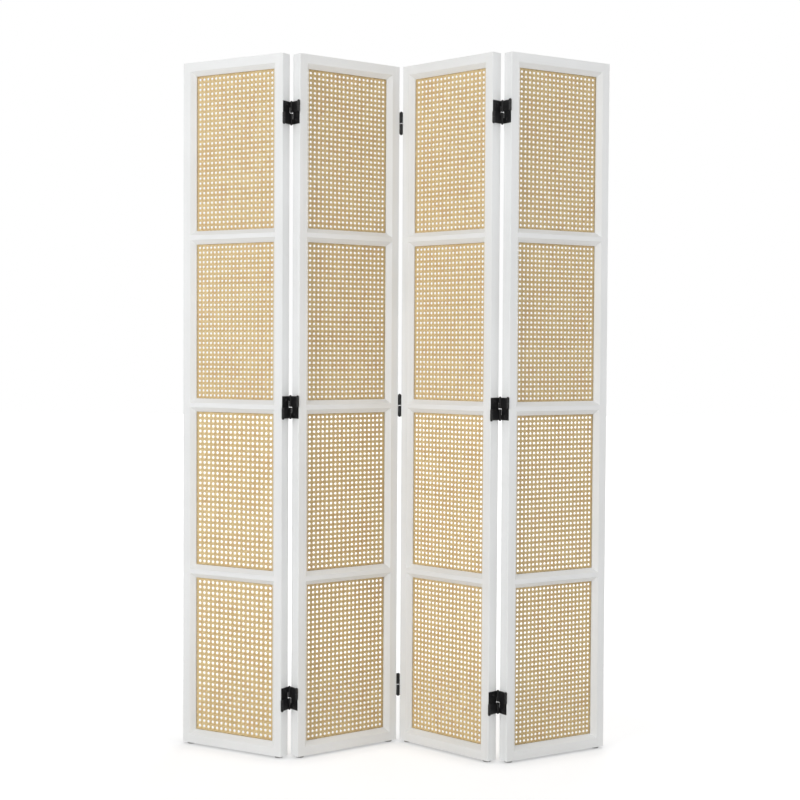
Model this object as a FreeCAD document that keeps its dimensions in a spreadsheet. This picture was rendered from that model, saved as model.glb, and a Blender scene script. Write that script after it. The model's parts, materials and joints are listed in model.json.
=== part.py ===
"""Folding room divider: four bevelled frames filled with cane and joined by two-way hinges.

Lengths are millimetres and angles degrees. X runs along the row of panels, Y from the front to
the back and Z up from the floor. In a panel's own frame X starts at the panel's left edge and Y at
the middle of its thickness. In a hinge's own frame X starts at the edge of the panel that carries
the leaf and runs into the gap, Y is the same as the panel's and Z starts at mid height.
"""

import FreeCAD
import Part
import Sketcher
import math
import os

PANELS = 4
OPENINGS = 4
HINGES = 3
SCREWS = 2
UPRIGHT_BANDS = 10
LEVEL_BANDS = 16
HALF_TURN = 180
FULL_TURN = 360

# Sides of the small round pieces, few because they repeat many times
KNUCKLE_SIDES = 8
PIN_SIDES = 6
GLIDE_SIDES = 8

SIZES = (
    # Frame of one panel
    ("panel_width", 300),
    ("frame_height", 1695),
    ("panel_thickness", 30),
    ("member_flat", 22),
    ("cross_rail_flat", 11),
    ("bevel_width", 11),
    ("bevel_depth", 11),
    ("edge_ease", 1.5),
    # Joints between the frame's members
    ("tenon_length", 10),
    ("tenon_height", 18),
    ("tenon_thickness", 6),
    ("tenon_clearance", 0.1),
    # Cane sheets, each of two layers of bands, and the groove that holds them
    ("cane_thickness", 2.5),
    ("cane_layer_gap", 0.1),
    ("cane_band", 13),
    ("cane_clearance", 0.1),
    ("cane_edge_gap", 0.5),
    ("groove_depth", 6),
    # Nail-on glides
    ("glide_height", 5),
    ("glide_diameter", 20),
    ("glide_rim", 1.5),
    ("nail_length", 12),
    ("nail_diameter", 2),
    ("nail_clearance", 0.1),
    # Hinge leaves and their places on the stiles
    ("hinge_end_distance", 140),
    ("hinge_height", 54),
    ("hinge_split", 0.5),
    ("leaf_thickness", 1.5),
    ("leaf_inset", 1.5),
    # Hinge barrels: knuckles, pins and links
    ("knuckle_diameter", 7),
    ("knuckle_gap", 0.25),
    ("knuckle_root", 1),
    ("barrel_clearance", 1),
    ("pin_offset", 4),
    ("pin_outset", 0.5),
    ("pin_diameter", 3),
    ("pin_clearance", 0.05),
    ("pin_tip_diameter", 5.5),
    ("pin_crown_diameter", 3.5),
    ("pin_tip_height", 2.5),
    ("link_thickness", 1.5),
    # Countersunk wood screws
    ("screw_length", 14),
    ("screw_diameter", 3),
    ("screw_head_diameter", 6),
    ("screw_point_diameter", 1),
    ("screw_clearance", 0.05),
    ("screw_spacing", 34),
    # How far a cut runs past the face that it opens
    ("overrun", 2),
    # Turn of the first panel and fold of each seam away from flat
    ("first_heading", -30.5),
    ("first_fold", 67.7),
    ("second_fold", 81.8),
    ("third_fold", 76.8),
)

# Derived sizes of the frame, as sheet expressions
HALF = "(Sizes.panel_thickness / 2)"
SIGHT = "(Sizes.member_flat + Sizes.bevel_width)"
CROSS_SIGHT = "(Sizes.cross_rail_flat + 2 * Sizes.bevel_width)"
INNER_HALF = f"({HALF} - Sizes.bevel_depth)"
GROOVE_HALF = "(Sizes.cane_thickness / 2 + Sizes.cane_clearance)"
FRAME_TOP = "(Sizes.glide_height + Sizes.frame_height)"
OPENING = f"((Sizes.frame_height - 2 * {SIGHT} - {OPENINGS - 1} * {CROSS_SIGHT}) / {OPENINGS})"
OUTER_TENON_CENTRE = f"(({SIGHT} - Sizes.groove_depth) / 2)"
NAIL_HOLE_RADIUS = "(Sizes.nail_diameter / 2 + Sizes.nail_clearance)"

# Derived sizes of the hinge, as sheet expressions
PIN_LINE = f"({HALF} + Sizes.pin_outset)"
BARREL_HEIGHT = "((Sizes.hinge_height - Sizes.hinge_split) / 2)"
KNUCKLE_RADIUS = "(Sizes.knuckle_diameter / 2)"
KNUCKLE_HEIGHT = f"(({BARREL_HEIGHT} - Sizes.knuckle_gap) / 2)"
PIN_BORE_SHARE = 1 / math.cos(math.pi / PIN_SIDES)
PIN_BORE_RADIUS = f"((Sizes.pin_diameter / 2 + Sizes.pin_clearance) * {PIN_BORE_SHARE})"
SCREW_HOLE_RADIUS = "(Sizes.screw_diameter / 2 + Sizes.screw_clearance)"
HINGE_LOW = "(Sizes.glide_height + Sizes.hinge_end_distance)"
HINGE_STEP = f"((Sizes.frame_height - 2 * Sizes.hinge_end_distance) / {HINGES - 1})"

doc = FreeCAD.newDocument("RoomDivider")
sheet = doc.addObject("Spreadsheet::Sheet", "Sizes")
for row, (alias, number) in enumerate(SIZES, start=1):
    sheet.set(f"A{row}", alias)
    sheet.set(f"B{row}", str(number))
    sheet.setAlias(f"B{row}", alias)
doc.recompute()
sub_parts = []


def amount(rule):
    """Work out a sheet expression as a number."""
    return float(sheet.evalExpression(rule))


def cross_rail_centre(number):
    """Height of the middle of an inner rail, counted from 1 at the bottom."""
    below = f"{number} * {OPENING} + ({number} - 1 / 2) * {CROSS_SIGHT}"
    return f"(Sizes.glide_height + {SIGHT} + {below})"


def moved(frame, x=0.0, y=0.0, z=0.0, axis=(0, 0, 1), turn=0):
    """A frame shifted, and then turned, within another frame."""
    place = FreeCAD.Vector(x, y, z)
    rotation = FreeCAD.Rotation(FreeCAD.Vector(*axis), turn)
    return frame.multiply(FreeCAD.Placement(place, rotation))


def new_body(label, frame):
    """Start a sub-part at its place in the divider."""
    body = doc.addObject("PartDesign::Body", label)
    body.Label = label
    body.AllowCompound = True
    body.Placement = frame
    sub_parts.append(body)
    return body


def origin_feature(body, role):
    """The body's own origin plane or axis with the given role."""
    return next(item for item in body.Origin.OriginFeatures if item.Role == role)


def sketch_on(body, name, role, **offset):
    """A sketch on one of the body's origin planes, with its offsets bound to the sheet."""
    sketch = body.newObject("Sketcher::SketchObject", name)
    sketch.AttachmentSupport = (origin_feature(body, role), "")
    sketch.MapMode = "FlatFace"
    for axis, rule in offset.items():
        sketch.setExpression(f"AttachmentOffset.Base.{axis}", rule)
    return sketch


def bind(sketch, rules):
    """Add dimensions to a sketch and tie each one to its sheet expression."""
    for dimension, rule in rules:
        index = sketch.addConstraint(dimension)
        sketch.setExpression(f"Constraints[{index}]", rule)


def point_rules(geometry, vertex, x, y):
    """Dimensions that hold one point of a sketch at its expressions, from the sketch's origin."""
    across = Sketcher.Constraint("DistanceX", -1, 1, geometry, vertex, amount(x))
    upwards = Sketcher.Constraint("DistanceY", -1, 1, geometry, vertex, amount(y))
    return [(across, x), (upwards, y)]


def bulged(start, end, radius):
    """An arc to the right of the way from start to end, as on an outline drawn anticlockwise."""
    chord = end - start
    to_left = FreeCAD.Vector(-chord.y, chord.x, 0).normalize()
    rise = max(radius ** 2 - chord.Length ** 2 / 4, 0) ** 0.5
    top = (start + end) / 2 + to_left * (rise - radius)
    return Part.Arc(start, top, end)


def draw_outline(sketch, corners):
    """Draw a closed outline, anticlockwise, through corners given as pairs of expressions.

    A third entry is the radius of the arc that leads on to the next corner.
    """
    first = sketch.GeometryCount
    count = len(corners)
    places = [FreeCAD.Vector(amount(corner[0]), amount(corner[1]), 0) for corner in corners]
    rules = []
    for step, (x, y, *radius) in enumerate(corners):
        start = places[step]
        end = places[(step + 1) % count]
        if radius:
            size = amount(radius[0])
            sketch.addGeometry(bulged(start, end, size), False)
            rules.append((Sketcher.Constraint("Radius", first + step, size), radius[0]))
        else:
            sketch.addGeometry(Part.LineSegment(start, end), False)
        rules.extend(point_rules(first + step, 1, x, y))
    for step in range(count):
        following = first + (step + 1) % count
        sketch.addConstraint(Sketcher.Constraint("Coincident", first + step, 2, following, 1))
    bind(sketch, rules)


def draw_box(sketch, left, right, low, high):
    """Draw a rectangle between four expressions."""
    draw_outline(sketch, [(left, low), (right, low), (right, high), (left, high)])


def polygon(x, y, radius, sides):
    """Corners of a regular polygon about a centre, from the ends of the side that faces -y."""
    corners = []
    for step in range(sides):
        angle = -math.pi / 2 + 2 * math.pi * (step - 1 / 2) / sides
        corner_x = f"{x} + {radius} * ({math.cos(angle):.9f})"
        corner_y = f"{y} + {radius} * ({math.sin(angle):.9f})"
        corners.append((corner_x, corner_y))
    return corners


def draw_polygon(sketch, x, y, radius, sides):
    """Draw a regular polygon about a centre, with its corners at the given radius."""
    draw_outline(sketch, polygon(x, y, radius, sides))


def pad(body, name, sketch, length, symmetric=False):
    """Add material along the sketch's normal, or evenly to both sides of it."""
    feature = body.newObject("PartDesign::Pad", name)
    feature.Profile = sketch
    feature.SideType = "Symmetric" if symmetric else "One side"
    feature.setExpression("Length", length)
    return feature


def pocket(body, name, sketch, length=None, forwards=False, symmetric=False):
    """Cut against the sketch's normal, or along it when forwards; with no length, cut through."""
    feature = body.newObject("PartDesign::Pocket", name)
    feature.Profile = sketch
    feature.SideType = "Symmetric" if symmetric else "One side"
    feature.Reversed = forwards
    if length:
        feature.setExpression("Length", length)
    else:
        feature.Type = "ThroughAll"
    return feature


def loft(body, name, sketches, cut=False):
    """Join a row of sections with straight sides, as added or as cut material."""
    kind = "SubtractiveLoft" if cut else "AdditiveLoft"
    feature = body.newObject(f"PartDesign::{kind}", name)
    feature.Profile = sketches[0]
    feature.Sections = sketches[1:]
    feature.Ruled = True
    return feature


def repeat(body, name, originals, role, count, step):
    """Repeat features along an origin axis, or the whole body where none are named."""
    doc.recompute()
    feature = body.newObject("PartDesign::LinearPattern", name)
    if originals:
        feature.Originals = originals
    else:
        feature.TransformMode = "Whole shape"
    feature.Direction = (origin_feature(body, role), [""])
    feature.Mode = "Spacing"
    feature.Occurrences = count
    feature.setExpression("Offset", step)
    body.Tip = feature
    return feature


def half_turn_copy(body, name, originals):
    """Repeat features once more, turned half round about the body's X axis."""
    feature = body.newObject("PartDesign::PolarPattern", name)
    feature.Originals = originals
    feature.Axis = (origin_feature(body, "X_Axis"), [""])
    feature.Angle = FULL_TURN
    feature.Occurrences = 2
    body.Tip = feature
    return feature


def screw_height(number):
    """Height of one of a leaf's screws, counted from 0 at the bottom, above the hinge's middle."""
    return f"{number - (SCREWS - 1) / 2} * Sizes.screw_spacing"


def stile(label, frame, hinged):
    """Upright with a bevel on both faces, a groove for the cane, and mortises for the rails."""
    body = new_body(label, frame)
    section = sketch_on(body, "Section", "XY_Plane", z="Sizes.glide_height")
    groove_floor = f"{SIGHT} - Sizes.groove_depth"
    draw_outline(section, [
        ("Sizes.edge_ease", f"-{HALF}"),
        ("Sizes.member_flat", f"-{HALF}"),
        (SIGHT, f"-{INNER_HALF}"),
        (SIGHT, f"-{GROOVE_HALF}"),
        (groove_floor, f"-{GROOVE_HALF}"),
        (groove_floor, GROOVE_HALF),
        (SIGHT, GROOVE_HALF),
        (SIGHT, INNER_HALF),
        ("Sizes.member_flat", HALF),
        ("Sizes.edge_ease", HALF),
        ("0", f"{HALF} - Sizes.edge_ease"),
        ("0", f"Sizes.edge_ease - {HALF}"),
    ])
    pad(body, "Post", section, "Sizes.frame_height")

    mortises = sketch_on(body, "Mortises", "YZ_Plane", z=SIGHT)
    mortise_half = "(Sizes.tenon_thickness / 2 + Sizes.tenon_clearance)"
    mortise_rise = "(Sizes.tenon_height / 2 + Sizes.tenon_clearance)"
    centres = [f"Sizes.glide_height + {OUTER_TENON_CENTRE}"]
    centres += [cross_rail_centre(number) for number in range(1, OPENINGS)]
    centres.append(f"{FRAME_TOP} - {OUTER_TENON_CENTRE}")
    for centre in centres:
        low = f"{centre} - {mortise_rise}"
        high = f"{centre} + {mortise_rise}"
        draw_box(mortises, f"-{mortise_half}", mortise_half, low, high)
    pocket(body, "MortiseCuts", mortises, "Sizes.tenon_length + Sizes.tenon_clearance")

    nail_hole = sketch_on(body, "NailHole", "XY_Plane", z="Sizes.glide_height")
    draw_polygon(nail_hole, f"{SIGHT} / 2", "0", NAIL_HOLE_RADIUS, PIN_SIDES)
    pocket(body, "NailHoleCut", nail_hole, "Sizes.nail_length + Sizes.nail_clearance", forwards=True)

    if hinged:
        pilots = sketch_on(body, "PilotHoles", "YZ_Plane", y=HINGE_LOW)
        for number in range(SCREWS):
            draw_polygon(pilots, "0", screw_height(number), SCREW_HOLE_RADIUS, PIN_SIDES)
        depth = "Sizes.screw_length - Sizes.leaf_thickness + Sizes.screw_clearance"
        cut = pocket(body, "PilotHoleCuts", pilots, depth, forwards=True)
        repeat(body, "PilotHoleRows", [cut], "Z_Axis", HINGES, HINGE_STEP)
    doc.recompute()


def rail_plan(sketch):
    """Plan of a rail: its ends are coped to sit over the stiles' bevels."""
    far_flat = "Sizes.panel_width - Sizes.member_flat"
    far_sight = f"Sizes.panel_width - {SIGHT}"
    draw_outline(sketch, [
        ("Sizes.member_flat", f"-{HALF}"),
        (far_flat, f"-{HALF}"),
        (far_sight, f"-{INNER_HALF}"),
        (far_sight, INNER_HALF),
        (far_flat, HALF),
        ("Sizes.member_flat", HALF),
        (SIGHT, INNER_HALF),
        (SIGHT, f"-{INNER_HALF}"),
    ])


def draw_bevels(sketch, flat_edge, inner_edge, side):
    """Draw the two bevels and the groove to be cut along one inner edge of a rail.

    flat_edge and inner_edge are heights, and side is + or - for an inner edge above or below.
    """
    outside = f"{inner_edge} {side} Sizes.overrun"
    groove_floor = f"{inner_edge} {side} (-Sizes.groove_depth)"
    face = f"({HALF} + Sizes.overrun)"
    for hand in ("", "-"):
        corners = [
            (f"{hand}{HALF}", flat_edge),
            (f"{hand}{face}", flat_edge),
            (f"{hand}{face}", outside),
            (f"{hand}{INNER_HALF}", outside),
            (f"{hand}{INNER_HALF}", inner_edge),
        ]
        draw_outline(sketch, corners)
    draw_box(sketch, f"-{GROOVE_HALF}", GROOVE_HALF, groove_floor, outside)


def add_tenons(body, low):
    """Run one tenon through the rail so that it stands out at both ends."""
    tenons = sketch_on(body, "Tenons", "XY_Plane", z=low)
    left = f"{SIGHT} - Sizes.tenon_length"
    right = f"Sizes.panel_width - {SIGHT} + Sizes.tenon_length"
    draw_box(tenons, left, right, "-Sizes.tenon_thickness / 2", "Sizes.tenon_thickness / 2")
    pad(body, "TenonBar", tenons, "Sizes.tenon_height")


def cross_rail(label, frame):
    """Inner rail, bevelled above and below, with its own frame at its middle height."""
    body = new_body(label, frame)
    plan = sketch_on(body, "Plan", "XY_Plane")
    rail_plan(plan)
    pad(body, "Bar", plan, CROSS_SIGHT, symmetric=True)
    cuts = sketch_on(body, "EdgeShapes", "YZ_Plane")
    draw_bevels(cuts, "Sizes.cross_rail_flat / 2", f"{CROSS_SIGHT} / 2", "+")
    draw_bevels(cuts, "-Sizes.cross_rail_flat / 2", f"-{CROSS_SIGHT} / 2", "-")
    pocket(body, "EdgeCuts", cuts, forwards=True)
    add_tenons(body, "-Sizes.tenon_height / 2")
    doc.recompute()


def outer_rail(label, frame):
    """Top or bottom rail, bevelled along its inner edge, with its own frame at its outer edge."""
    body = new_body(label, frame)
    plan = sketch_on(body, "Plan", "XY_Plane")
    rail_plan(plan)
    pad(body, "Bar", plan, SIGHT)
    cuts = sketch_on(body, "EdgeShapes", "YZ_Plane")
    draw_bevels(cuts, "Sizes.member_flat", SIGHT, "+")
    pocket(body, "EdgeCuts", cuts, forwards=True)
    add_tenons(body, f"{OUTER_TENON_CENTRE} - Sizes.tenon_height / 2")
    doc.recompute()


def cane_sheets(label, frame):
    """Open sheet for each opening: upright bands before level ones, their ends in the grooves.

    Each band stands for a few woven strands, and the gaps between bands for the weave's holes.
    """
    body = new_body(label, frame)
    reach = "(Sizes.groove_depth - Sizes.cane_edge_gap)"
    left = f"({SIGHT} - {reach})"
    right = f"(Sizes.panel_width - {left})"
    low = f"(Sizes.glide_height + {SIGHT} - {reach})"
    high = f"(Sizes.glide_height + {SIGHT} + {OPENING} + {reach})"
    layer = "((Sizes.cane_thickness - Sizes.cane_layer_gap) / 2)"

    upright = sketch_on(body, "UprightBand", "XZ_Plane", z="Sizes.cane_layer_gap / 2")
    draw_box(upright, left, f"{left} + Sizes.cane_band", low, high)
    upright_pad = pad(body, "Upright", upright, layer)
    across = f"({right} - {left} - Sizes.cane_band) / {UPRIGHT_BANDS - 1}"
    repeat(body, "Uprights", [upright_pad], "X_Axis", UPRIGHT_BANDS, across)

    level = sketch_on(body, "LevelBand", "XZ_Plane", z="-Sizes.cane_thickness / 2")
    draw_box(level, left, right, low, f"{low} + Sizes.cane_band")
    level_pad = pad(body, "Level", level, layer)
    upwards = f"({high} - {low} - Sizes.cane_band) / {LEVEL_BANDS - 1}"
    repeat(body, "Levels", [level_pad], "Z_Axis", LEVEL_BANDS, upwards)
    repeat(body, "Sheets", None, "Z_Axis", OPENINGS, f"{OPENING} + {CROSS_SIGHT}")
    doc.recompute()


def glides(label, frame):
    """Nail-on glides under both stiles, with their own frame at the first nail."""
    body = new_body(label, frame)
    rim = "(Sizes.glide_diameter / 2)"
    sections = []
    for height, radius in (("0", f"({rim} - Sizes.glide_rim)"), ("Sizes.glide_rim", rim),
                           ("Sizes.glide_height", rim)):
        section = sketch_on(body, "DiscSection", "XY_Plane", z=height)
        draw_polygon(section, "0", "0", radius, GLIDE_SIDES)
        sections.append(section)
    disc = loft(body, "Disc", sections)
    nail_section = sketch_on(body, "NailSection", "XY_Plane", z="Sizes.glide_height")
    draw_polygon(nail_section, "0", "0", "Sizes.nail_diameter / 2", PIN_SIDES)
    nail = pad(body, "Nail", nail_section, "Sizes.nail_length")
    repeat(body, "Glides", [disc, nail], "X_Axis", 2, f"Sizes.panel_width - {SIGHT}")
    doc.recompute()


def hinge_leaves(label, frame):
    """Leaves at one edge, each with a knuckle low at the front and another high at the back.

    Above and below its knuckles a leaf is narrower, to leave room for the other leaf's barrels.
    A knuckle is round on its outer side, which shows, and has flat sides elsewhere.
    """
    body = new_body(label, frame)
    outline = sketch_on(body, "LeafOutline", "YZ_Plane")
    edge = f"({HALF} - Sizes.leaf_inset)"
    narrow = f"({PIN_LINE} - {KNUCKLE_RADIUS} - Sizes.barrel_clearance)"
    rise = "(Sizes.hinge_height / 2)"
    shoulder = f"({rise} - {KNUCKLE_HEIGHT})"
    draw_outline(outline, [
        (f"-{edge}", f"-{rise}"),
        (narrow, f"-{rise}"),
        (narrow, shoulder),
        (edge, shoulder),
        (edge, rise),
        (f"-{narrow}", rise),
        (f"-{narrow}", f"-{shoulder}"),
        (f"-{edge}", f"-{shoulder}"),
    ])
    pad(body, "Leaf", outline, "Sizes.leaf_thickness")

    root = sketch_on(body, "RootPlan", "XY_Plane", z=f"-{rise}")
    draw_box(root, "0", "Sizes.pin_offset", f"-{PIN_LINE}", f"Sizes.knuckle_root - {edge}")
    root_pad = pad(body, "Root", root, KNUCKLE_HEIGHT)

    knuckle = sketch_on(body, "KnucklePlan", "XY_Plane", z=f"-{rise}")
    corners = polygon("Sizes.pin_offset", f"-{PIN_LINE}", KNUCKLE_RADIUS, KNUCKLE_SIDES)
    corners[0] += (KNUCKLE_RADIUS,)
    draw_outline(knuckle, corners)
    knuckle_pad = pad(body, "Knuckle", knuckle, KNUCKLE_HEIGHT)

    bore = sketch_on(body, "PinBorePlan", "XY_Plane")
    draw_polygon(bore, "Sizes.pin_offset", f"-{PIN_LINE}", PIN_BORE_RADIUS, PIN_SIDES)
    bore_cut = pocket(body, "PinBore", bore)
    half_turn_copy(body, "BackKnuckle", [root_pad, knuckle_pad, bore_cut])

    sections = []
    head_radius = "(Sizes.screw_head_diameter / 2 + Sizes.screw_clearance)"
    for depth, radius in (("Sizes.leaf_thickness", head_radius), ("0", SCREW_HOLE_RADIUS)):
        section = sketch_on(body, "CountersinkSection", "YZ_Plane", y=screw_height(0), z=depth)
        draw_polygon(section, "0", "0", radius, PIN_SIDES)
        sections.append(section)
    countersink = loft(body, "Countersink", sections, cut=True)
    repeat(body, "Countersinks", [countersink], "Z_Axis", SCREWS, "Sizes.screw_spacing")
    repeat(body, "LeavesUpTheEdge", None, "Z_Axis", HINGES, HINGE_STEP)
    doc.recompute()


def hinge_links(label, frame):
    """Links that join the front barrel of one leaf to the back barrel of the other.

    In its own frame a link stands on the outer end of its barrels, with its knuckles above.
    """
    body = new_body(label, frame)
    outline = sketch_on(body, "LinkOutline", "YZ_Plane", z="Sizes.pin_offset")
    wide = f"({PIN_LINE} - {KNUCKLE_RADIUS} - Sizes.knuckle_gap)"
    shoulder = f"({BARREL_HEIGHT} - {KNUCKLE_HEIGHT})"
    draw_outline(outline, [
        (f"-{wide}", "0"),
        (wide, "0"),
        (wide, shoulder),
        (PIN_LINE, shoulder),
        (PIN_LINE, BARREL_HEIGHT),
        (f"-{PIN_LINE}", BARREL_HEIGHT),
        (f"-{PIN_LINE}", shoulder),
        (f"-{wide}", shoulder),
    ])
    pad(body, "Link", outline, "Sizes.link_thickness", symmetric=True)
    knuckles = sketch_on(body, "KnucklePlan", "XY_Plane", z=shoulder)
    bores = sketch_on(body, "PinBorePlan", "XY_Plane", z=BARREL_HEIGHT)
    for line in (PIN_LINE, f"-{PIN_LINE}"):
        draw_polygon(knuckles, "Sizes.pin_offset", line, KNUCKLE_RADIUS, KNUCKLE_SIDES)
        draw_polygon(bores, "Sizes.pin_offset", line, PIN_BORE_RADIUS, PIN_SIDES)
    pad(body, "Knuckles", knuckles, KNUCKLE_HEIGHT)
    pocket(body, "PinBores", bores)
    repeat(body, "LinksUpTheEdge", None, "Z_Axis", HINGES, HINGE_STEP)
    doc.recompute()


def hinge_pins(label, frame):
    """Pins with tapered tips: one low at the front and one high at the back of each leaf."""
    body = new_body(label, frame)
    foot = "-Sizes.hinge_height / 2"
    centre = {"x": "Sizes.pin_offset", "y": f"-{PIN_LINE}"}
    shaft = sketch_on(body, "ShaftSection", "XY_Plane", z=foot, **centre)
    draw_polygon(shaft, "0", "0", "Sizes.pin_diameter / 2", PIN_SIDES)
    shaft_pad = pad(body, "Shaft", shaft, BARREL_HEIGHT)
    sections = []
    for height, width in ((foot, "Sizes.pin_tip_diameter"),
                          (f"{foot} - Sizes.pin_tip_height", "Sizes.pin_crown_diameter")):
        section = sketch_on(body, "TipSection", "XY_Plane", z=height, **centre)
        draw_polygon(section, "0", "0", f"{width} / 2", PIN_SIDES)
        sections.append(section)
    tip = loft(body, "Tip", sections)
    half_turn_copy(body, "BackPin", [shaft_pad, tip])
    repeat(body, "PinsUpTheEdge", None, "Z_Axis", HINGES, HINGE_STEP)
    doc.recompute()


def hinge_screws(label, frame):
    """Countersunk screws with a tapered shank, flush with the leaves' outer faces."""
    body = new_body(label, frame)
    shank = "(Sizes.screw_diameter / 2)"
    head = "(Sizes.screw_head_diameter / 2)"
    tip = "Sizes.leaf_thickness - Sizes.screw_length"
    stations = (
        ("Sizes.leaf_thickness", head),
        ("0", shank),
        (tip, "(Sizes.screw_point_diameter / 2)"),
    )
    sections = []
    for depth, radius in stations:
        section = sketch_on(body, "ScrewSection", "YZ_Plane", y=screw_height(0), z=depth)
        draw_polygon(section, "0", "0", radius, PIN_SIDES)
        sections.append(section)
    screw = loft(body, "Screw", sections)
    repeat(body, "ScrewsOfOneLeaf", [screw], "Z_Axis", SCREWS, "Sizes.screw_spacing")
    repeat(body, "ScrewsUpTheEdge", None, "Z_Axis", HINGES, HINGE_STEP)
    doc.recompute()


def fold_panels():
    """Frames of the panels and the pivot of each seam, walking along the row from the left.

    Seams fold by turns about their back and their front pins, so that the row zigzags.
    """
    width = amount("Sizes.panel_width")
    gap = amount("Sizes.pin_offset")
    line = amount(PIN_LINE)
    heading = amount("Sizes.first_heading")
    frames = [moved(FreeCAD.Placement(), turn=heading)]
    pivots = []
    side = 1
    for fold in ("first_fold", "second_fold", "third_fold"):
        pivot = moved(frames[-1], x=width + gap, y=side * line)
        turned = moved(pivot, turn=side * amount(f"Sizes.{fold}"))
        frames.append(moved(turned, x=gap, y=-side * line))
        pivots.append((pivot.Base, side))
        side = -side
    return frames, pivots


def build_panel(number, frame):
    """Stiles, rails, cane sheets and glides of one panel."""
    name = f"panel_{number}"
    width = amount("Sizes.panel_width")
    far_edge = moved(frame, x=width, turn=HALF_TURN)
    stile(f"{name}_left_stile", frame, hinged=number > 1)
    stile(f"{name}_right_stile", far_edge, hinged=number < PANELS)
    outer_rail(f"{name}_bottom_rail", moved(frame, z=amount("Sizes.glide_height")))
    for step, place in enumerate(("lower", "middle", "upper"), start=1):
        cross_rail(f"{name}_{place}_rail", moved(frame, z=amount(cross_rail_centre(step))))
    upside_down = moved(frame, x=width, z=amount(FRAME_TOP), axis=(0, 1, 0), turn=HALF_TURN)
    outer_rail(f"{name}_top_rail", upside_down)
    cane_sheets(f"{name}_cane_sheets", frame)
    glides(f"{name}_glides", moved(frame, x=amount(f"{SIGHT} / 2")))


def build_seam(number, left_frame, right_frame, side):
    """Hinges of one seam: leaves, pins and screws on both edges, and links between them.

    A link keeps the pivot at one end and a leaf's free barrel at the other, so it lies along the
    edge of that leaf's panel. The free upper barrel is the right leaf's where the back pins pivot.
    Upper links are lower ones turned upside down, so their row is counted from the top hinge.
    """
    name = f"seam_{number}"
    low = amount(HINGE_LOW)
    edges = {
        "left": moved(left_frame, x=amount("Sizes.panel_width"), z=low),
        "right": moved(right_frame, z=low, turn=HALF_TURN),
    }
    for hand, edge in edges.items():
        hinge_leaves(f"{name}_{hand}_leaves", edge)
        hinge_pins(f"{name}_{hand}_pins", edge)
        hinge_screws(f"{name}_{hand}_screws", edge)
    upper_hand, lower_hand = ("right", "left") if side > 0 else ("left", "right")
    climb = amount(f"{HINGES - 1} * {HINGE_STEP}")
    half_height = amount("Sizes.hinge_height / 2")
    top = moved(edges[upper_hand], z=half_height + climb, axis=(1, 0, 0), turn=HALF_TURN)
    hinge_links(f"{name}_upper_links", top)
    hinge_links(f"{name}_lower_links", moved(edges[lower_hand], z=-half_height))


def check_model():
    """Stop if a feature failed, a cut missed or a sub-part's shape isn't sound."""
    for item in doc.Objects:
        if "Invalid" in item.State or "Error" in item.State:
            raise RuntimeError(f"{item.Label} failed: {item.State}")
        if item.TypeId in ("PartDesign::Pocket", "PartDesign::SubtractiveLoft"):
            if item.Shape.Volume >= item.BaseFeature.Shape.Volume:
                raise RuntimeError(f"{item.Label} cuts nothing")
    for body in sub_parts:
        if body.Shape.isNull() or not body.Shape.isValid() or not body.Shape.Solids:
            raise RuntimeError(f"{body.Label} has no sound shape")


def centre_on_floor(pivots):
    """Shift every sub-part so that the origin lies under the middle of the whole divider."""
    box = FreeCAD.BoundBox()
    for body in sub_parts:
        box.add(body.Shape.BoundBox)
    shift = FreeCAD.Vector(-box.Center.x, -box.Center.y, 0)
    for body in sub_parts:
        body.Placement = FreeCAD.Placement(shift, FreeCAD.Rotation()).multiply(body.Placement)
    doc.recompute()
    for number, (place, side) in enumerate(pivots, start=1):
        at = place + shift
        print(f"pivot of seam {number}: x {at.x:.4f} y {at.y:.4f} side {side}")
    print(f"size: {box.XLength:.2f} by {box.YLength:.2f} by {box.ZLength:.2f}")


def main():
    """Build the divider, check it and write one file for each sub-part."""
    frames, pivots = fold_panels()
    for number, frame in enumerate(frames, start=1):
        build_panel(number, frame)
    for number, (pivot, side) in enumerate(pivots, start=1):
        build_seam(number, frames[number - 1], frames[number], side)
    check_model()
    centre_on_floor(pivots)
    check_model()
    os.makedirs("parts", exist_ok=True)
    for body in sub_parts:
        body.Shape.exportStep(f"parts/{body.Label}.step")
    print(f"sub-parts: {len(sub_parts)}, solids: {sum(len(body.Shape.Solids) for body in sub_parts)}")


main()
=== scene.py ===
"""Looks of a folding room divider: painted frames, woven cane, black hinges and a plain stage.

Lengths are metres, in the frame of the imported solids: X along the row of panels, Y from the front
to the back and Z up from the floor. In a panel's own frame X starts at its left edge and Y at the
middle of its thickness. In a hinge's own frame X starts at the panel edge that carries the leaf
and runs into the gap, Y starts at the middle of the thickness and Z at the hinge's middle.
"""

import json
import math

import bmesh
import bpy
from mathutils import Matrix, Vector


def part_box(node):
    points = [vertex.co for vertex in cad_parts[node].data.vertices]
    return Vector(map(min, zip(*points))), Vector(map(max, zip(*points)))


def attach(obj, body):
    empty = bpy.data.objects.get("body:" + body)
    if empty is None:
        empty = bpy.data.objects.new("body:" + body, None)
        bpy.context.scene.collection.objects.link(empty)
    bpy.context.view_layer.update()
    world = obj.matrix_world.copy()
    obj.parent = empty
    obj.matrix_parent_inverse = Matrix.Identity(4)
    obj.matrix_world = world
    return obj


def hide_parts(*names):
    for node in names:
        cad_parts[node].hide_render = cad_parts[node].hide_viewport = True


bl_info = {
    "name": "Folding Room Divider",
    "version": (1, 0, 0),
    "blender": (4, 5, 0),
    "location": "3D View > Sidebar > Divider",
    "description": "Dresses a folding room divider with paint, woven cane, hinges and glides",
    "category": "Object",
}

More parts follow.
